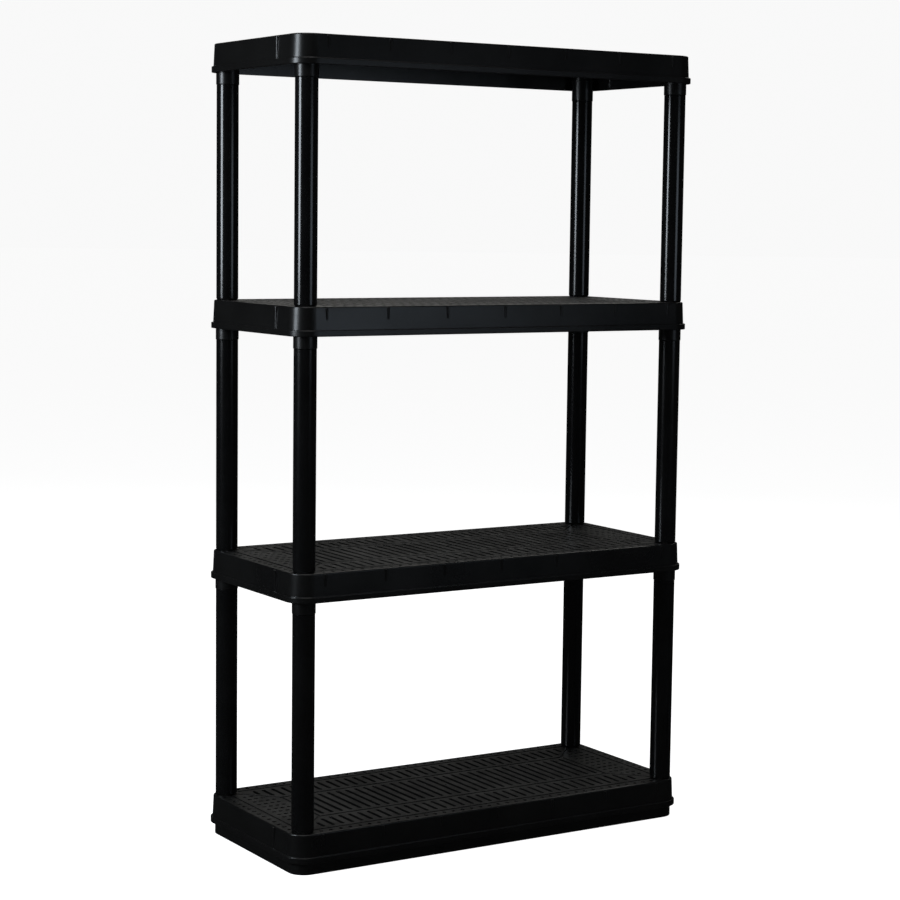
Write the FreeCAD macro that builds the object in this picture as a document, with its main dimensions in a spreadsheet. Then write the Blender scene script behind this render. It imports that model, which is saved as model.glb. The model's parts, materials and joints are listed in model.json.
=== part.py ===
import FreeCAD, Part
import math
import os
import Sketcher

# A four-tier moulded-plastic shelving unit that pushes together without bolts.
# Four ventilated trays stand on three courses of four round tubular posts. Every tray is
# the same moulding: a drafted skirt with a lip, a slotted deck on ribs, and a socket in
# each corner, open above and below, whose collar hangs under the skirt. The lowest tray
# also has a base rim, as deep as its collars, and stands on both.
# Origin: centre of the footprint, on the floor. +X along the long side, +Y to the back.

DIMENSIONS = {
    # the whole unit
    "tier_pitch": 386.0,          # deck top to deck top
    "post_spacing_long": 658.0,   # post axis to post axis, along the unit
    "post_spacing_short": 252.0,  # post axis to post axis, front to back
    # tray
    "collar_drop": 18.0,          # collar below the skirt, and depth of the base rim
    "skirt_height": 43.0,
    "deck_overhang": 22.0,        # post axis to the edge of the deck
    "skirt_draft": 2.7,           # degrees; the skirt widens downwards
    "skirt_corner_radius": 30.0,  # at the foot of the skirt
    "lip_overhang": 26.5,         # post axis to the edge of the lip
    "lip_height": 9.0,
    "wall": 2.5,
    "deck_thickness": 3.0,
    "deck_edge_radius": 2.0,
    "lip_edge_radius": 1.0,
    # sockets
    "collar_radius": 17.5,
    "collar_ring_radius": 18.6,
    "collar_ring_height": 2.5,
    "collar_ring_start": 14.0,    # above the foot of the skirt
    "socket_radius": 15.05,
    "upper_socket_depth": 26.0,
    "lower_socket_depth": 31.0,
    "collar_chamfer": 0.8,
    # ribs under the deck
    "rib_thickness": 2.0,
    "rib_depth": 14.0,
    "long_rib_pitch": 31.5,
    "cross_rib_slots": 4.0,       # slots between two cross ribs
    # deck pattern
    "border_width": 63.0,         # outer groove to inner groove
    "groove_width": 4.5,
    "groove_depth": 1.4,
    "slot_pitch": 16.4,
    "slot_width": 6.0,
    "slot_margin": 9.5,           # groove centre line to the end of a slot
    "hole_pitch": 11.2,
    "hole_length": 7.5,
    "hole_width": 5.5,
    "rim_row_offset": 11.0,       # outer groove to the row of holes in the rim
    "gate_mark_radius": 4.5,
    "gate_mark_depth": 0.8,
    # beads down the outside of the skirt
    "bead_radius": 2.5,
    "side_bead_inset": 1.5,       # bead axis behind the foot of the skirt
    "side_bead_offset": 79.0,     # from the middle of a short side
    "front_bead_inset": 3.0,
    "front_bead_pitch": 102.0,
    "front_bead_height": 17.0,
    # base rim of the lowest tray
    "base_rim_overhang": 19.5,    # post axis to the outside of the rim
    "base_rim_wall": 3.0,
    "base_ledge": 2.0,            # thickness of the ledge joining the rim to the skirt
    # posts
    "post_radius": 16.75,
    "post_wall": 2.2,
    "spigot_radius": 15.0,
    "spigot_wall": 2.0,
    "lower_spigot": 24.0,
    "upper_spigot": 28.0,
    "spigot_chamfer": 1.0,
    "spigot_root": 4.0,           # spigot wall carried on inside the post
    "shoulder_width": 1.2,
    "shoulder_height": 2.5,
    "post_top_chamfer": 0.5,
}

FIELD_SLOTS = 32       # slots across the middle of the deck
HOLE_COLUMNS = 4       # holes across a short border
HOLE_ROWS = 8          # full rows of holes in a short border
MITRE_STEPS = 2        # shortened slots and hole rows beside each mitre
RIM_END_HOLES = 3      # holes in each rim row past the last slot or hole row
CROSS_RIBS = 9
LONG_RIBS = 5
FRONT_BEADS = 7

# Derived lengths, as expressions over the sheet.
TRAY_HEIGHT = "(Sizes.collar_drop + Sizes.skirt_height)"
DECK_UNDERSIDE = f"({TRAY_HEIGHT} - Sizes.deck_thickness)"
HALF_LONG = "(Sizes.post_spacing_long / 2)"
HALF_SHORT = "(Sizes.post_spacing_short / 2)"
DRAFT_SHIFT = "(Sizes.skirt_height * tan(Sizes.skirt_draft * 1deg))"
SKIRT_OVERHANG = f"(Sizes.deck_overhang + {DRAFT_SHIFT})"
RIM_ROW_X = f"({HALF_LONG} + Sizes.rim_row_offset)"
RIM_ROW_Y = f"({HALF_SHORT} + Sizes.rim_row_offset)"
POST_LENGTH = f"(Sizes.tier_pitch - {TRAY_HEIGHT})"

BOTH = ("-", "")       # signs of the two sides of a symmetrical feature

document = FreeCAD.newDocument("shelving_unit")
sizes = document.addObject("Spreadsheet::Sheet", "Sizes")
for row, (alias, size) in enumerate(DIMENSIONS.items(), start=1):
    sizes.set(f"A{row}", str(size))
    sizes.setAlias(f"A{row}", alias)
document.recompute()

waiting = {}           # constraints kept for each open sketch, with their expressions


def value(expression):
    """The number an expression over the sheet comes to, in millimetres."""
    result = sizes.evalExpression(expression)
    return float(getattr(result, "Value", result))


def new_body(label):
    body = document.addObject("PartDesign::Body", label)
    body.Label = label
    return body


def origin_feature(body, role):
    return next(feature for feature in body.Origin.OriginFeatures if feature.Role == role)


def new_sketch(body, name, plane="XY_Plane", height=None):
    """A sketch on one of the body's origin planes, lifted by an expression."""
    sketch = body.newObject("Sketcher::SketchObject", name)
    sketch.AttachmentSupport = [(origin_feature(body, plane), "")]
    sketch.MapMode = "FlatFace"
    if height:
        sketch.setExpression("AttachmentOffset.Base.z", height)
    return sketch


def constrain(sketch, kind, *references):
    """Keeps a constraint until its sketch is closed."""
    waiting.setdefault(sketch.Name, []).append((Sketcher.Constraint(kind, *references), None))


def bind(sketch, kind, references, expression):
    """Keeps a dimension, bound to an expression, until its sketch is closed."""
    constraint = Sketcher.Constraint(kind, *references, value(expression))
    waiting.setdefault(sketch.Name, []).append((constraint, expression))


def close_sketch(sketch):
    """Adds all the constraints kept for a sketch at once, which keeps the solver quick."""
    kept = waiting.pop(sketch.Name)
    numbers = sketch.addConstraint([constraint for constraint, expression in kept])
    for number, (constraint, expression) in zip(numbers, kept):
        if expression:
            sketch.setExpression(f"Constraints[{number}]", expression)
    sketch.Visibility = False


def place_point(sketch, geometry, point, x, y):
    """Fixes a point of the sketch at two expressions, measured from its origin."""
    for kind, expression, axis in (("DistanceX", x, -2), ("DistanceY", y, -1)):
        if value(expression) == 0:
            constrain(sketch, "PointOnObject", geometry, point, axis)
        else:
            bind(sketch, kind, (-1, 1, geometry, point), expression)


def flat_vector(x, y):
    return FreeCAD.Vector(value(x), value(y), 0)


def circle(sketch, x, y, radius):
    """A circle centred on two expressions."""
    geometry = sketch.addGeometry(
        Part.Circle(flat_vector(x, y), FreeCAD.Vector(0, 0, 1), value(radius)))
    place_point(sketch, geometry, 3, x, y)
    bind(sketch, "Radius", (geometry,), radius)


def arc(centre, radius, start, end):
    """An arc about a centre, between two angles in degrees."""
    whole = Part.Circle(centre, FreeCAD.Vector(0, 0, 1), radius)
    return Part.ArcOfCircle(whole, math.radians(start), math.radians(end))


def polygon(sketch, points):
    """A closed outline through points given as pairs of expressions."""
    corners = [flat_vector(x, y) for x, y in points]
    first = sketch.GeometryCount
    for corner, following in zip(corners, corners[1:] + corners[:1]):
        sketch.addGeometry(Part.LineSegment(corner, following))
    for number, (x, y) in enumerate(points):
        following = (number + 1) % len(points)
        constrain(sketch, "Coincident", first + number, 2, first + following, 1)
        place_point(sketch, first + number, 1, x, y)


def rectangle(sketch, half_x, half_y):
    """A rectangle about the sketch's origin, from two expressions."""
    polygon(sketch, [(f"-{half_x}", f"-{half_y}"), (half_x, f"-{half_y}"),
                     (half_x, half_y), (f"-{half_x}", half_y)])


def rounded_rectangle(sketch, half_x, half_y, radius):
    """A rounded rectangle about the sketch's origin, from three expressions."""
    centre_x, centre_y = f"({half_x} - {radius})", f"({half_y} - {radius})"
    turns = (("", "", 0), ("-", "", 90), ("-", "-", 180), ("", "-", 270))
    arcs = [arc(flat_vector(sx + centre_x, sy + centre_y), value(radius), start, start + 90)
            for sx, sy, start in turns]
    first = sketch.GeometryCount
    for corner, following in zip(arcs, arcs[1:] + arcs[:1]):
        sketch.addGeometry(corner)
        sketch.addGeometry(Part.LineSegment(corner.EndPoint, following.StartPoint))
    for number in range(8):
        following = (number + 1) % 8
        constrain(sketch, "Tangent", first + number, 2, first + following, 1)
    for number in (2, 4, 6):
        constrain(sketch, "Equal", first, first + number)
    constrain(sketch, "Horizontal", first + 1)
    bind(sketch, "Radius", (first,), radius)
    place_point(sketch, first, 3, centre_x, centre_y)
    place_point(sketch, first + 4, 3, "-" + centre_x, "-" + centre_y)


def slot(sketch, x, y, length, width, along_y):
    """A round-ended slot centred on two expressions."""
    reach = f"({length} - {width}) / 2"
    if along_y:
        centres = ((x, f"{y} + {reach}"), (x, f"{y} - {reach}"))
        start = 0
    else:
        centres = ((f"{x} - {reach}", y), (f"{x} + {reach}", y))
        start = 90
    ends = [arc(flat_vector(*centre), value(width) / 2, start + turn, start + turn + 180)
            for centre, turn in zip(centres, (0, 180))]
    first = sketch.GeometryCount
    for end, following in (ends, reversed(ends)):
        sketch.addGeometry(end)
        sketch.addGeometry(Part.LineSegment(end.EndPoint, following.StartPoint))
    for number in range(4):
        following = (number + 1) % 4
        constrain(sketch, "Tangent", first + number, 2, first + following, 1)
    bind(sketch, "Radius", (first,), f"{width} / 2")
    place_point(sketch, first, 3, *centres[0])
    place_point(sketch, first + 2, 3, *centres[1])


def circles_at_posts(sketch, radius):
    """One circle on each of the four post axes."""
    for sx in BOTH:
        for sy in BOTH:
            circle(sketch, sx + HALF_LONG, sy + HALF_SHORT, radius)


def volume_of(body):
    return body.Shape.Volume if body.Tip else 0.0


def finish_feature(body, feature, before, grows):
    """Recomputes a feature and makes sure it changed the solid the way it should."""
    document.recompute()
    after = feature.Shape.Volume
    changed = after > before if grows else after < before
    if not changed:
        raise RuntimeError(f"{body.Label}: {feature.Name} left the volume at {after}")
    return feature


def pad(body, name, sketch, length, draft=None):
    close_sketch(sketch)
    before = volume_of(body)
    feature = body.newObject("PartDesign::Pad", name)
    feature.Profile = sketch
    feature.setExpression("Length", length)
    if draft:
        feature.setExpression("TaperAngle", draft)
    return finish_feature(body, feature, before, grows=True)


def pocket(body, name, sketch, depth, upwards=False, draft=None):
    """Cuts the sketch into the solid, downwards unless told otherwise."""
    close_sketch(sketch)
    before = volume_of(body)
    feature = body.newObject("PartDesign::Pocket", name)
    feature.Profile = sketch
    feature.Reversed = upwards
    feature.setExpression("Length", depth)
    if draft:
        feature.setExpression("TaperAngle", draft)
    return finish_feature(body, feature, before, grows=False)


def pattern(body, name, original, role, length, count, grows):
    """Repeats a feature along an origin axis, over a total length."""
    before = volume_of(body)
    feature = body.newObject("PartDesign::LinearPattern", name)
    feature.Originals = [original]
    feature.Direction = (origin_feature(body, role), [""])
    feature.Occurrences = count
    feature.setExpression("Length", length)
    body.Tip = feature
    return finish_feature(body, feature, before, grows)


def dress(body, kind, name, edges, dimension, size):
    """Rounds or bevels edges of the body's last feature."""
    before = volume_of(body)
    base = body.Tip
    feature = body.newObject(f"PartDesign::{kind}", name)
    feature.Base = (base, edges)
    feature.setExpression(dimension, size)
    return finish_feature(body, feature, before, grows=False)


def level_edges(body, height, keep=lambda edge: True):
    """Names of the body's edges that lie flat at a height."""
    level = value(height)
    names = []
    for number, edge in enumerate(body.Shape.Edges, start=1):
        box = edge.BoundBox
        is_level = abs(box.ZMin - level) < 0.001 and abs(box.ZMax - level) < 0.001
        if is_level and keep(edge):
            names.append(f"Edge{number}")
    return names


def tray_shell(body):
    """The drafted skirt, its lip and the hollow under the deck."""
    outline = new_sketch(body, "SkirtOutline", height="Sizes.collar_drop")
    rounded_rectangle(outline, f"({HALF_LONG} + {SKIRT_OVERHANG})",
                      f"({HALF_SHORT} + {SKIRT_OVERHANG})", "Sizes.skirt_corner_radius")
    draft = "-Sizes.skirt_draft * 1deg"
    pad(body, "Skirt", outline, "Sizes.skirt_height", draft)
    dress(body, "Fillet", "DeckEdge", level_edges(body, TRAY_HEIGHT),
          "Radius", "Sizes.deck_edge_radius")

    lip_outline = new_sketch(body, "LipOutline", height="Sizes.collar_drop")
    lip_radius = f"(Sizes.skirt_corner_radius + Sizes.lip_overhang - {SKIRT_OVERHANG})"
    rounded_rectangle(lip_outline, f"({HALF_LONG} + Sizes.lip_overhang)",
                      f"({HALF_SHORT} + Sizes.lip_overhang)", lip_radius)
    pad(body, "Lip", lip_outline, "Sizes.lip_height")
    skirt_reach = value(f"{HALF_SHORT} + {SKIRT_OVERHANG}")
    skirt_side = value(f"{HALF_LONG} + {SKIRT_OVERHANG}")

    def on_lip(edge):
        """True for edges outside the skirt, which only the lip has."""
        box = edge.BoundBox
        outside_long = max(abs(box.YMin), abs(box.YMax)) > skirt_reach
        return outside_long or max(abs(box.XMin), abs(box.XMax)) > skirt_side

    for name, height in (("LipFoot", "Sizes.collar_drop"),
                         ("LipTop", "Sizes.collar_drop + Sizes.lip_height")):
        dress(body, "Fillet", name, level_edges(body, height, on_lip),
              "Radius", "Sizes.lip_edge_radius")

    hollow_outline = new_sketch(body, "HollowOutline", height="Sizes.collar_drop")
    rounded_rectangle(hollow_outline, f"({HALF_LONG} + {SKIRT_OVERHANG} - Sizes.wall)",
                      f"({HALF_SHORT} + {SKIRT_OVERHANG} - Sizes.wall)",
                      "(Sizes.skirt_corner_radius - Sizes.wall)")
    pocket(body, "Hollow", hollow_outline, "Sizes.skirt_height - Sizes.deck_thickness",
           upwards=True, draft=draft)


def tray_ribs(body):
    """Ribs under the deck: long ones, and cross ones between the slots."""
    rib_start = f"({DECK_UNDERSIDE} - Sizes.rib_depth)"
    half_rib = "Sizes.rib_thickness / 2"
    reach_x = f"({HALF_LONG} + Sizes.deck_overhang - Sizes.wall / 2)"
    reach_y = f"({HALF_SHORT} + Sizes.deck_overhang - Sizes.wall / 2)"

    first_y = f"-{(LONG_RIBS - 1) / 2} * Sizes.long_rib_pitch"
    sketch = new_sketch(body, "LongRibOutline", height=rib_start)
    polygon(sketch, [(f"-{reach_x}", f"{first_y} - {half_rib}"),
                     (reach_x, f"{first_y} - {half_rib}"),
                     (reach_x, f"{first_y} + {half_rib}"),
                     (f"-{reach_x}", f"{first_y} + {half_rib}")])
    rib = pad(body, "LongRib", sketch, "Sizes.rib_depth")
    pattern(body, "LongRibs", rib, "Y_Axis",
            f"{LONG_RIBS - 1} * Sizes.long_rib_pitch", LONG_RIBS, grows=True)

    cross_pitch = "Sizes.cross_rib_slots * Sizes.slot_pitch"
    first_x = f"-{(CROSS_RIBS - 1) / 2} * {cross_pitch}"
    sketch = new_sketch(body, "CrossRibOutline", height=rib_start)
    polygon(sketch, [(f"{first_x} - {half_rib}", f"-{reach_y}"),
                     (f"{first_x} + {half_rib}", f"-{reach_y}"),
                     (f"{first_x} + {half_rib}", reach_y),
                     (f"{first_x} - {half_rib}", reach_y)])
    rib = pad(body, "CrossRib", sketch, "Sizes.rib_depth")
    pattern(body, "CrossRibs", rib, "X_Axis",
            f"{CROSS_RIBS - 1} * {cross_pitch}", CROSS_RIBS, grows=True)


def tray_sockets(body):
    """A collar on each post axis, bored from above and below with a web between."""
    collar = new_sketch(body, "CollarCircles")
    circles_at_posts(collar, "Sizes.collar_radius")
    pad(body, "Collars", collar, f"{TRAY_HEIGHT} - Sizes.deck_thickness / 2")
    dress(body, "Chamfer", "CollarFoot", level_edges(body, "0"), "Size", "Sizes.collar_chamfer")

    ring = new_sketch(body, "CollarRingCircles",
                      height="Sizes.collar_drop + Sizes.collar_ring_start")
    circles_at_posts(ring, "Sizes.collar_ring_radius")
    pad(body, "CollarRings", ring, "Sizes.collar_ring_height")

    upper = new_sketch(body, "UpperSocketCircles", height=TRAY_HEIGHT)
    circles_at_posts(upper, "Sizes.socket_radius")
    pocket(body, "UpperSockets", upper, "Sizes.upper_socket_depth")
    lower = new_sketch(body, "LowerSocketCircles")
    circles_at_posts(lower, "Sizes.socket_radius")
    pocket(body, "LowerSockets", lower, "Sizes.lower_socket_depth", upwards=True)


def deck_grooves(body):
    """Two rectangular grooves in the deck, joined corner to corner by mitres."""
    half_groove = "Sizes.groove_width / 2"
    inner_x, inner_y = f"({HALF_LONG} - Sizes.border_width)", f"({HALF_SHORT} - Sizes.border_width)"
    sketch = new_sketch(body, "GrooveOutline", height=TRAY_HEIGHT)
    for half_x, half_y in ((HALF_LONG, HALF_SHORT), (inner_x, inner_y)):
        for side in ("-", "+"):
            rectangle(sketch, f"({half_x} {side} {half_groove})", f"({half_y} {side} {half_groove})")
    pocket(body, "Grooves", sketch, "Sizes.groove_depth")

    slant = f"{half_groove} * sqrt(2)"
    mitres = new_sketch(body, "MitreOutline", height=TRAY_HEIGHT)
    for sx in BOTH:
        for sy in BOTH:
            polygon(mitres, [(f"{sx}({inner_x} - {slant})", f"{sy}{inner_y}"),
                             (f"{sx}{inner_x}", f"{sy}({inner_y} - {slant})"),
                             (f"{sx}{HALF_LONG}", f"{sy}({HALF_SHORT} - {slant})"),
                             (f"{sx}({HALF_LONG} - {slant})", f"{sy}{HALF_SHORT}")])
    pocket(body, "Mitres", mitres, "Sizes.groove_depth")


def gate_mark(body):
    """The small round dimple that the mould's gate leaves in the middle of the deck."""
    sketch = new_sketch(body, "GateMarkCircle", height=TRAY_HEIGHT)
    circle(sketch, "0", "0", "Sizes.gate_mark_radius")
    pocket(body, "GateMark", sketch, "Sizes.gate_mark_depth")


def skirt_beads(body):
    """Rounded beads down the skirt: one on each short side, and a row on each long side."""
    bead_x = f"({HALF_LONG} + {SKIRT_OVERHANG} - Sizes.side_bead_inset)"
    bead_y = f"({HALF_SHORT} + {SKIRT_OVERHANG} - Sizes.front_bead_inset)"
    bead_top = f"({TRAY_HEIGHT} - Sizes.deck_edge_radius)"

    side_start = "(Sizes.collar_drop + Sizes.lip_height / 2)"
    side = new_sketch(body, "SideBeadCircles", height=side_start)
    for sign in BOTH:
        circle(side, sign + bead_x, sign + "Sizes.side_bead_offset", "Sizes.bead_radius")
    pad(body, "SideBeads", side, f"{bead_top} - {side_start}")

    front = new_sketch(body, "FrontBeadCircles", height=f"{bead_top} - Sizes.front_bead_height")
    for number in range(FRONT_BEADS):
        x = f"{number - (FRONT_BEADS - 1) / 2} * Sizes.front_bead_pitch"
        for sy in BOTH:
            circle(front, x, sy + bead_y, "Sizes.bead_radius")
    pad(body, "FrontBeads", front, "Sizes.front_bead_height")


def hole_columns(side, first):
    """The x places of the holes in one row, from the given column outwards."""
    middle = f"({HALF_LONG} - Sizes.border_width / 2)"
    return [f"{side}({middle} + {column - (HOLE_COLUMNS - 1) / 2} * Sizes.hole_pitch)"
            for column in range(first, HOLE_COLUMNS)]


def cut_openings(body, name, slots=(), holes=()):
    """Cuts round-ended openings right through the deck.

    Slots are (x, y, length) and lie front to back; holes are (x, y, along_y) and short."""
    sketch = new_sketch(body, f"{name}Outline", height=TRAY_HEIGHT)
    for x, y, length in slots:
        slot(sketch, x, y, length, "Sizes.slot_width", True)
    for x, y, along_y in holes:
        slot(sketch, x, y, "Sizes.hole_length", "Sizes.hole_width", along_y)
    return pocket(body, name, sketch, "Sizes.deck_thickness")


def mitre_openings(body):
    """Slots and hole rows that step back beside the mitres."""
    slots = []
    holes = []
    for step in range(1, MITRE_STEPS + 1):
        x = f"({(FIELD_SLOTS - 1) / 2 + step} * Sizes.slot_pitch)"
        length = f"({HALF_LONG} - 2 * Sizes.slot_margin - {x})"
        y = f"({HALF_SHORT} - Sizes.slot_margin - {length} / 2)"
        row = f"({(HOLE_ROWS - 1) / 2 + step} * Sizes.slot_pitch)"
        for sx in BOTH:
            for sy in BOTH:
                slots.append((sx + x, sy + y, length))
                holes += [(column, sy + row, False) for column in hole_columns(sx, step)]
    cut_openings(body, "MitreSlots", slots=slots)
    half = len(holes) // 2
    cut_openings(body, "LeftMitreHoles", holes=holes[:half])
    cut_openings(body, "RightMitreHoles", holes=holes[half:])


def rim_ends(body):
    """The last holes of the rows in the rim, beside the corners."""
    long_row = []
    short_row = []
    for step in range(1, RIM_END_HOLES + 1):
        x = f"({(FIELD_SLOTS - 1) / 2 + step} * Sizes.slot_pitch)"
        y = f"({(HOLE_ROWS - 1) / 2 + step} * Sizes.slot_pitch)"
        for sx in BOTH:
            for sy in BOTH:
                long_row.append((sx + x, sy + RIM_ROW_Y, True))
                short_row.append((sx + RIM_ROW_X, sy + y, False))
    cut_openings(body, "LongRimEnds", holes=long_row)
    cut_openings(body, "ShortRimEnds", holes=short_row)


def hole_rows(body):
    """Rows of short openings across both short borders and their rims."""
    y = f"-{(HOLE_ROWS - 1) / 2} * Sizes.slot_pitch"
    columns = [RIM_ROW_X, "-" + RIM_ROW_X] + hole_columns("-", 0) + hole_columns("", 0)
    row = cut_openings(body, "HoleRow", holes=[(x, y, False) for x in columns])
    pattern(body, "HoleRows", row, "Y_Axis",
            f"{HOLE_ROWS - 1} * Sizes.slot_pitch", HOLE_ROWS, grows=False)


def slot_columns(body):
    """Columns of slots across the middle, both long borders and their rims."""
    x = f"-{(FIELD_SLOTS - 1) / 2} * Sizes.slot_pitch"
    field_length = f"(2 * ({HALF_SHORT} - Sizes.border_width - Sizes.slot_margin))"
    border_length = "(Sizes.border_width - 2 * Sizes.slot_margin)"
    border_middle = f"({HALF_SHORT} - Sizes.border_width / 2)"
    slots = [(x, "0", field_length)]
    slots += [(x, sy + border_middle, border_length) for sy in BOTH]
    column = cut_openings(body, "SlotColumn", slots, [(x, sy + RIM_ROW_Y, True) for sy in BOTH])
    pattern(body, "SlotColumns", column, "X_Axis",
            f"{FIELD_SLOTS - 1} * Sizes.slot_pitch", FIELD_SLOTS, grows=False)


def make_tray(label):
    body = new_body(label)
    tray_shell(body)
    tray_ribs(body)
    tray_sockets(body)
    deck_grooves(body)
    gate_mark(body)
    skirt_beads(body)
    mitre_openings(body)
    rim_ends(body)
    hole_rows(body)
    slot_columns(body)
    return body


def base_ring(sketch, overhangs):
    """Two rounded rectangles, one inside the other, at two reaches past the post axes."""
    for overhang in overhangs:
        rounded_rectangle(sketch, f"({HALF_LONG} + {overhang})", f"({HALF_SHORT} + {overhang})",
                          f"(Sizes.skirt_corner_radius + {overhang} - {SKIRT_OVERHANG})")


def add_base_rim(body):
    """The rim that the lowest tray stands on, and the ledge that joins it to the skirt."""
    rim_inside = "(Sizes.base_rim_overhang - Sizes.base_rim_wall)"
    rim = new_sketch(body, "BaseRimOutline")
    base_ring(rim, ("Sizes.base_rim_overhang", rim_inside))
    pad(body, "BaseRim", rim, "Sizes.collar_drop + Sizes.base_ledge")
    ledge = new_sketch(body, "BaseLedgeOutline", height="Sizes.collar_drop")
    base_ring(ledge, (f"({SKIRT_OVERHANG} - Sizes.wall / 2)", rim_inside))
    pad(body, "BaseLedge", ledge, "Sizes.base_ledge")


def make_post(label):
    """A round tube with a reduced spigot at each end, turned about its own axis."""
    body = new_body(label)
    sketch = new_sketch(body, "PostProfile", plane="XZ_Plane")
    spigot, outer = "Sizes.spigot_radius", "Sizes.post_radius"
    spigot_bore = f"({spigot} - Sizes.spigot_wall)"
    bore = f"({outer} - Sizes.post_wall)"
    step = f"({bore} - {spigot_bore})"
    foot = "-Sizes.lower_spigot"
    head = f"{POST_LENGTH} + Sizes.upper_spigot"
    polygon(sketch, [
        (spigot_bore, foot),
        (f"{spigot} - Sizes.spigot_chamfer", foot),
        (spigot, f"{foot} + Sizes.spigot_chamfer"),
        (spigot, "0"),
        (f"{outer} - Sizes.shoulder_width", "0"),
        (outer, "Sizes.shoulder_height"),
        (outer, f"{POST_LENGTH} - Sizes.post_top_chamfer"),
        (f"{outer} - Sizes.post_top_chamfer", POST_LENGTH),
        (spigot, POST_LENGTH),
        (spigot, f"{head} - Sizes.spigot_chamfer"),
        (f"{spigot} - Sizes.spigot_chamfer", head),
        (spigot_bore, head),
        (spigot_bore, f"{POST_LENGTH} - Sizes.spigot_root"),
        (bore, f"{POST_LENGTH} - Sizes.spigot_root - {step}"),
        (bore, f"Sizes.spigot_root + {step}"),
        (spigot_bore, "Sizes.spigot_root"),
    ])
    close_sketch(sketch)
    feature = body.newObject("PartDesign::Revolution", "Tube")
    feature.Profile = sketch
    feature.ReferenceAxis = (sketch, ["V_Axis"])
    feature.Angle = 360.0
    return body


def copy_of(original, label):
    """A body that follows another body's shape, with its own place."""
    body = new_body(label)
    base = document.addObject("PartDesign::FeatureBase", f"{label}_base")
    base.BaseFeature = original
    body.Group = [base]
    body.Tip = base
    return body


def put(body, x, y, z):
    """Places a body at three expressions."""
    for axis, expression in (("x", x), ("y", y), ("z", z)):
        body.setExpression(f"Placement.Base.{axis}", expression)


TRAYS = ("bottom_shelf", "lower_middle_shelf", "upper_middle_shelf", "top_shelf")
COURSES = ("lower", "middle", "upper")
CORNERS = {"front_left": ("-", "-"), "front_right": ("", "-"),
           "back_left": ("-", ""), "back_right": ("", "")}

tray = make_tray(TRAYS[1])
nodes = []
for level, label in enumerate(TRAYS):
    placed = tray if label == tray.Label else copy_of(tray, label)
    if label == TRAYS[0]:
        document.recompute()
        add_base_rim(placed)
    put(placed, "0", "0", f"{level} * Sizes.tier_pitch")
    nodes.append(placed)

post = make_post(f"{COURSES[0]}_post_front_left")
for level, course in enumerate(COURSES):
    for corner, (sx, sy) in CORNERS.items():
        label = f"{course}_post_{corner}"
        placed = post if label == post.Label else copy_of(post, label)
        put(placed, sx + HALF_LONG, sy + HALF_SHORT,
            f"{level} * Sizes.tier_pitch + {TRAY_HEIGHT}")
        nodes.append(placed)
document.recompute()

for item in document.Objects:
    if "Invalid" in item.State or "Error" in item.State:
        raise RuntimeError(f"{item.Label} failed: {item.State}")
for node in nodes:
    if node.Shape.isNull() or not node.Shape.isValid() or len(node.Shape.Solids) != 1:
        raise RuntimeError(f"{node.Label} is not one valid solid")

os.makedirs("parts", exist_ok=True)
for node in nodes:
    node.Shape.exportStep(f"parts/{node.Label}.step")
    print(node.Label, round(node.Shape.Volume), node.Shape.BoundBox)
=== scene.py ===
import json
import math

import bmesh
import bpy
from mathutils import Matrix, Vector


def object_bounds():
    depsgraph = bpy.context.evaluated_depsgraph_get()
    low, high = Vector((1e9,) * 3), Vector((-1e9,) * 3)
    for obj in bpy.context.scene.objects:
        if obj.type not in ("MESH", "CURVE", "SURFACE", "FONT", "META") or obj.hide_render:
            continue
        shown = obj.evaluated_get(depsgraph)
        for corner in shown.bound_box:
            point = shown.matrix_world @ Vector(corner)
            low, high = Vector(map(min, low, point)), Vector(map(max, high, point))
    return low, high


# A black moulded-plastic shelving unit on a pale floor. The trays and posts are the CAD
# nodes themselves; this script gives them their plastics, and makes the room and lights.

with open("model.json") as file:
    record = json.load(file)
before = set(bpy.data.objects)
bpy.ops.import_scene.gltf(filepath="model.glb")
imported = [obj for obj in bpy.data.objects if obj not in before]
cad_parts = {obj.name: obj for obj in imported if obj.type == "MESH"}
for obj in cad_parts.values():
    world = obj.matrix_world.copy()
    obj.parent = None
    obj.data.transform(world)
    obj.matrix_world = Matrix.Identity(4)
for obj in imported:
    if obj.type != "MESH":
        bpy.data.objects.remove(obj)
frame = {"nodes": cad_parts, "record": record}
rest_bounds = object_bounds()

# Camera: where it stands relative to the unit, and how it is turned.
CAMERA_AZIMUTH = -32.057       # degrees; 0 looks along +Y
CAMERA_ELEVATION = 5.936
CAMERA_ROLL = 0.712
CAMERA_DISTANCE = 3.4993       # metres from the point it looks at
CAMERA_TARGET = (-0.0023, 0.0, 0.5990)
CAMERA_LENS = 89.07            # mm
CAMERA_SENSOR = 36.0           # mm wide

# Room.
AIR_LIGHT = 0.014              # strength of the white air as a light
AIR_SEEN = 0.945               # and as the camera sees it
FLOOR_GLOW = 0.94              # the floor's own brightness, for the camera alone
FLOOR_RADIUS = 60.0
FLOOR_SIDES = 64

# Colours of the lamps.
WHITE = (1.0, 1.0, 1.0)
WARM_WHITE = (1.0, 0.99, 0.95)
COOL_WHITE = (0.84, 0.92, 1.0)
SKY_BLUE = (0.74, 0.86, 1.0)

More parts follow.
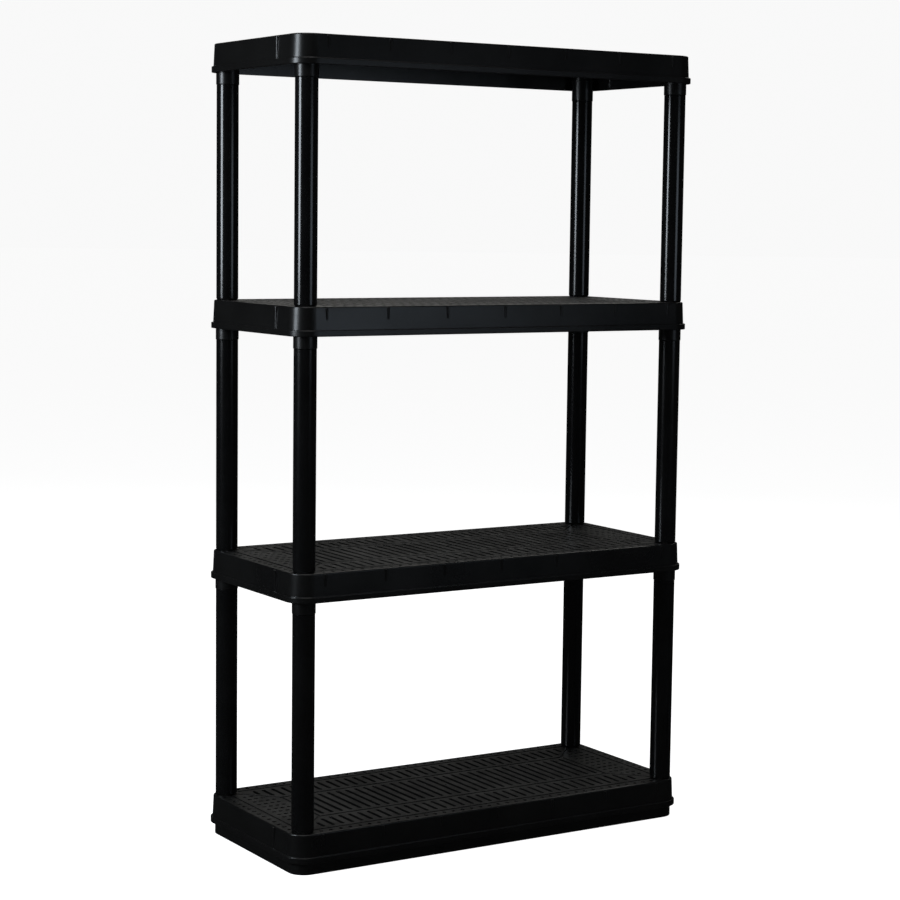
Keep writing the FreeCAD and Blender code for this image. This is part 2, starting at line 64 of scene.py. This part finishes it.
# Plastics. Scales are those of noise over metres, so a larger one makes smaller marks.
PLASTIC_IOR = 1.49
PIECE_VARIATION = 0.03         # how much rougher one piece can be than the next
BEVEL_RADIUS = 0.0011          # of the softened edges of a tray
BEVEL_SAMPLES = 4
TRAY_PATCH_SCALE = 9.0
TRAY_SPECK_SCALE = 900.0
TRAY_DUST_SCALE = 46.0
TRAY_SINK_SCALE = 13.0         # shallow waves, as in plastic that shrank while it cooled
TRAY_SINK_DEPTH = 0.0009
TRAY_GRAIN_SCALE = 1500.0
TRAY_GRAIN_DEPTH = 0.0001
TRAY_ROUGHNESS = (0.25, 0.32)
DUST_ROUGHNESS = 0.26          # added where dust lies
RUB_POLISH = 0.05              # taken off where edges are rubbed
POST_PATCH_SCALE = 16.0
POST_FLOW_SCALE = 120.0
POST_FLOW_STRETCH = (1, 1, 0.03)       # drawn out along the post
POST_FLOW_DEPTH = 0.0001
POST_RUB_SCALE = 60.0
POST_RUB_STRETCH = (0.25, 0.25, 3.0)   # short rings round the post
POST_GRAIN_SCALE = 1100.0
POST_GRAIN_DEPTH = 0.00004
POST_ROUGHNESS = (0.14, 0.17)
RUB_ROUGHNESS = 0.04           # added in the rub marks on a post
FLOOR_MOTTLE_SCALE = 3.0
FLOOR_GRAIN_SCALE = 400.0
FLOOR_GRAIN_DEPTH = 0.0003
FLOOR_ROUGHNESS = 0.8


# ---------------------------------------------------------------- node material helpers

class Material:
    """A node material with short calls for adding nodes and links."""

    def __init__(self, name):
        self.material = bpy.data.materials.new(name)
        self.material.use_nodes = True
        self.tree = self.material.node_tree
        self.shader = self.tree.nodes["Principled BSDF"]

    def node(self, kind, **settings):
        node = self.tree.nodes.new(kind)
        for name, setting in settings.items():
            setattr(node, name, setting)
        return node

    def link(self, source, target):
        self.tree.links.new(source, target)

    def put(self, socket, source):
        """Sets a socket to a number or colour, or links another socket to it."""
        if isinstance(source, bpy.types.NodeSocket):
            self.link(source, socket)
        else:
            socket.default_value = source

    def shade(self, name, source):
        """Sets or links an input of the material's shader."""
        self.put(self.shader.inputs[name], source)

    def noise(self, scale, detail=3.0, roughness=0.5, stretch=(1, 1, 1)):
        """Noise fixed to the piece, from 0 to 1, stretched along its axes if asked."""
        place = self.node("ShaderNodeTexCoord")
        mapping = self.node("ShaderNodeMapping")
        mapping.inputs["Scale"].default_value = stretch
        self.link(place.outputs["Object"], mapping.inputs["Vector"])
        noise = self.node("ShaderNodeTexNoise")
        self.link(mapping.outputs["Vector"], noise.inputs["Vector"])
        noise.inputs["Scale"].default_value = scale
        noise.inputs["Detail"].default_value = detail
        noise.inputs["Roughness"].default_value = roughness
        return noise.outputs["Fac"]

    def spread(self, source, low, high, out_low=0.0, out_high=1.0):
        """Maps a range of one value onto another range, clamped."""
        mapped = self.node("ShaderNodeMapRange")
        self.link(source, mapped.inputs["Value"])
        for name, number in (("From Min", low), ("From Max", high),
                             ("To Min", out_low), ("To Max", out_high)):
            mapped.inputs[name].default_value = number
        return mapped.outputs["Result"]

    def combine(self, operation, first, second):
        """Adds, subtracts or multiplies two values."""
        node = self.node("ShaderNodeMath", operation=operation)
        self.put(node.inputs[0], first)
        self.put(node.inputs[1], second)
        return node.outputs["Value"]

    def mix(self, factor, first, second):
        """Mixes two colours."""
        node = self.node("ShaderNodeMix", data_type="RGBA")
        self.put(node.inputs["Factor"], factor)
        self.put(node.inputs["A"], first)
        self.put(node.inputs["B"], second)
        return node.outputs["Result"]

    def facing(self):
        """The way the surface faces, without bumps."""
        return self.node("ShaderNodeNewGeometry").outputs["Normal"]

    def random(self):
        """A number that differs from piece to piece."""
        return self.node("ShaderNodeObjectInfo").outputs["Random"]

    def bump(self, height, strength, distance, below=None):
        """A bumpy surface, laid over another one if it is given."""
        bump = self.node("ShaderNodeBump")
        bump.inputs["Strength"].default_value = strength
        bump.inputs["Distance"].default_value = distance
        self.link(height, bump.inputs["Height"])
        if below is not None:
            self.link(below, bump.inputs["Normal"])
        return bump.outputs["Normal"]


def grey(level, tint=(1.0, 1.0, 1.0)):
    return (level * tint[0], level * tint[1], level * tint[2], 1.0)


# ------------------------------------------------------------------------- the plastics

def dust_cover(m):
    """How much dust lies at a point: patchy, and only on surfaces that face up."""
    parts = m.node("ShaderNodeSeparateXYZ")
    m.link(m.facing(), parts.inputs["Vector"])
    upward = m.spread(parts.outputs["Z"], 0.6, 1.0)
    dust = m.noise(TRAY_DUST_SCALE, 6.0, 0.7)
    return m.combine("MULTIPLY", m.spread(dust, 0.42, 0.72, 0.05, 0.45), upward)


def rubbed_edges(m, soft_normal, patches):
    """How worn a point is: edges that hands and boxes rub, more in some patches."""
    turn = m.node("ShaderNodeVectorMath", operation="DOT_PRODUCT")
    m.link(soft_normal, turn.inputs[0])
    m.link(m.facing(), turn.inputs[1])
    edge = m.spread(turn.outputs["Value"], 0.99, 0.86)
    return m.combine("MULTIPLY", edge, m.spread(patches, 0.38, 0.62, 0.15, 0.75))


def tray_plastic():
    """Black polypropylene with a fine moulded grain, a little dust and rubbed edges."""
    m = Material("tray_plastic")
    bevel = m.node("ShaderNodeBevel", samples=BEVEL_SAMPLES)
    bevel.inputs["Radius"].default_value = BEVEL_RADIUS
    soft_normal = bevel.outputs["Normal"]
    patches = m.noise(TRAY_PATCH_SCALE, 4.0, 0.55)
    specks = m.spread(m.noise(TRAY_SPECK_SCALE, 2.0, 0.6), 0.45, 0.75, 0.0, 0.35)
    dust = dust_cover(m)
    wear = rubbed_edges(m, soft_normal, patches)

    cool_black = grey(0.0034, (1.0, 1.0, 1.02))
    warm_black = grey(0.0056, (1.0, 1.0, 0.97))
    base = m.mix(m.spread(patches, 0.35, 0.65), cool_black, warm_black)
    base = m.mix(specks, base, grey(0.012))
    base = m.mix(dust, base, grey(0.022, (1.0, 0.99, 0.93)))
    base = m.mix(wear, base, grey(0.014))
    m.shade("Base Color", base)

    rough = m.spread(patches, 0.3, 0.7, *TRAY_ROUGHNESS)
    rough = m.combine("ADD", rough, m.combine("MULTIPLY", m.random(), PIECE_VARIATION))
    rough = m.combine("ADD", rough, m.combine("MULTIPLY", dust, DUST_ROUGHNESS))
    rough = m.combine("SUBTRACT", rough, m.combine("MULTIPLY", wear, RUB_POLISH))
    m.shade("Roughness", rough)
    m.shade("IOR", PLASTIC_IOR)

    sink = m.bump(m.noise(TRAY_SINK_SCALE, 2.0), 0.25, TRAY_SINK_DEPTH, soft_normal)
    m.shade("Normal", m.bump(m.noise(TRAY_GRAIN_SCALE, 3.0, 0.6), 0.28, TRAY_GRAIN_DEPTH, sink))
    return m.material


def post_plastic():
    """Smoother black plastic, drawn out along the post, with rub marks round it."""
    m = Material("post_plastic")
    flow = m.noise(POST_FLOW_SCALE, 4.0, 0.6, POST_FLOW_STRETCH)
    patches = m.noise(POST_PATCH_SCALE, 4.0, 0.55)
    rub = m.noise(POST_RUB_SCALE, 5.0, 0.7, POST_RUB_STRETCH)

    dark = grey(0.0030, (0.98, 1.0, 1.06))
    light = grey(0.0048, (0.98, 1.0, 1.05))
    base = m.mix(m.spread(patches, 0.35, 0.65), dark, light)
    base = m.mix(m.spread(rub, 0.62, 0.78, 0.0, 0.25), base, grey(0.009))
    m.shade("Base Color", base)

    rough = m.spread(flow, 0.3, 0.7, *POST_ROUGHNESS)
    rough = m.combine("ADD", rough, m.spread(rub, 0.60, 0.80, 0.0, RUB_ROUGHNESS))
    rough = m.combine("ADD", rough, m.combine("MULTIPLY", m.random(), PIECE_VARIATION))
    m.shade("Roughness", rough)
    m.shade("IOR", PLASTIC_IOR)

    drawn = m.bump(flow, 0.02, POST_FLOW_DEPTH)
    m.shade("Normal", m.bump(m.noise(POST_GRAIN_SCALE, 2.0), 0.03, POST_GRAIN_DEPTH, drawn))
    return m.material


def floor_paint():
    """A pale matt floor with the faintest mottling, which glows for the camera alone."""
    m = Material("floor_paint")
    mottle = m.spread(m.noise(FLOOR_MOTTLE_SCALE, 4.0, 0.6), 0.3, 0.7)
    m.shade("Base Color", m.mix(mottle, grey(0.83), grey(0.87)))
    m.shade("Roughness", FLOOR_ROUGHNESS)
    m.shade("Normal", m.bump(m.noise(FLOOR_GRAIN_SCALE), 0.1, FLOOR_GRAIN_DEPTH))
    seen = m.node("ShaderNodeLightPath").outputs["Is Camera Ray"]
    m.shade("Emission Color", grey(1.0))
    m.shade("Emission Strength", m.combine("MULTIPLY", seen, FLOOR_GLOW))
    return m.material


def dress_nodes():
    """Gives each CAD node the plastic of its material slot."""
    plastics = {"tray_plastic": tray_plastic(), "post_plastic": post_plastic()}
    slots = {part["node"]: part["material_slot"] for part in frame["record"]["subparts"]}
    for name, node in frame["nodes"].items():
        node.data.materials.clear()
        node.data.materials.append(plastics[slots[name]])


# ----------------------------------------------------------------- room, lights, camera

def direction(azimuth, elevation):
    """Unit vector from the unit towards an azimuth and elevation, in degrees."""
    a, e = math.radians(azimuth), math.radians(elevation)
    return Vector((math.sin(a) * math.cos(e), -math.cos(a) * math.cos(e), math.sin(e)))


def make_floor():
    """A wide pale floor, which the lights reach but the gloss of the plastic leaves out."""
    mesh = bpy.data.meshes.new("floor")
    build = bmesh.new()
    bmesh.ops.create_circle(build, cap_ends=True, radius=FLOOR_RADIUS, segments=FLOOR_SIDES)
    build.to_mesh(mesh)
    build.free()
    floor = bpy.data.objects.new("floor", mesh)
    bpy.context.scene.collection.objects.link(floor)
    floor.visible_glossy = False
    mesh.materials.append(floor_paint())


def softbox(name, azimuth, elevation, distance, width, height, watts, colour):
    """A rectangular lamp facing the middle of the unit; azimuth counts from the camera."""
    lamp = bpy.data.lights.new(name, "AREA")
    lamp.shape = "RECTANGLE"
    lamp.size = width
    lamp.size_y = height
    lamp.energy = watts
    lamp.color = colour
    box = bpy.data.objects.new(name, lamp)
    bpy.context.scene.collection.objects.link(box)
    middle = (Vector(rest_bounds[0]) + Vector(rest_bounds[1])) / 2
    towards = direction(CAMERA_AZIMUTH + azimuth, elevation)
    box.location = middle + towards * distance
    box.rotation_euler = towards.to_track_quat("Z", "Y").to_euler()


def make_lights():
    """Two upright lamps for the streaks on the posts, and three high ones for the rest."""
    softbox("left_strip", azimuth=-60, elevation=16, distance=2.4,
            width=0.65, height=1.0, watts=29, colour=COOL_WHITE)
    softbox("right_strip", azimuth=52, elevation=7.5, distance=2.6,
            width=0.9, height=0.5, watts=2.3, colour=SKY_BLUE)
    softbox("overhead", azimuth=10, elevation=82, distance=3.0,
            width=2.6, height=2.6, watts=18, colour=WHITE)
    softbox("front_high", azimuth=0, elevation=52, distance=3.2,
            width=2.4, height=1.0, watts=16, colour=WHITE)
    softbox("far_side", azimuth=172, elevation=38, distance=3.2,
            width=3.0, height=0.8, watts=20, colour=WARM_WHITE)


def make_studio_air():
    """White behind the unit where the camera looks, and nearly dark for everything else."""
    world = bpy.data.worlds.new("studio")
    world.use_nodes = True
    bpy.context.scene.world = world
    tree = world.node_tree
    background = tree.nodes["Background"]
    background.inputs["Color"].default_value = grey(1.0)
    path = tree.nodes.new("ShaderNodeLightPath")
    strength = tree.nodes.new("ShaderNodeMapRange")
    strength.inputs["To Min"].default_value = AIR_LIGHT
    strength.inputs["To Max"].default_value = AIR_SEEN
    tree.links.new(path.outputs["Is Camera Ray"], strength.inputs["Value"])
    tree.links.new(strength.outputs["Result"], background.inputs["Strength"])


def make_camera():
    """The camera, turned to look at its target and rolled a little."""
    lens = bpy.data.cameras.new("camera")
    lens.lens = CAMERA_LENS
    lens.sensor_width = CAMERA_SENSOR
    camera = bpy.data.objects.new("camera", lens)
    bpy.context.scene.collection.objects.link(camera)
    back = direction(CAMERA_AZIMUTH, CAMERA_ELEVATION)
    right = direction(CAMERA_AZIMUTH + 90, 0)
    up = back.cross(right)
    turned = Matrix((right, up, back)).transposed().to_4x4()
    turned = turned @ Matrix.Rotation(math.radians(CAMERA_ROLL), 4, "Z")
    place = Vector(CAMERA_TARGET) + back * CAMERA_DISTANCE
    camera.matrix_world = Matrix.Translation(place) @ turned
    bpy.context.scene.camera = camera
    bpy.context.scene.view_settings.view_transform = "Standard"


dress_nodes()
make_floor()
make_lights()
make_studio_air()
make_camera()
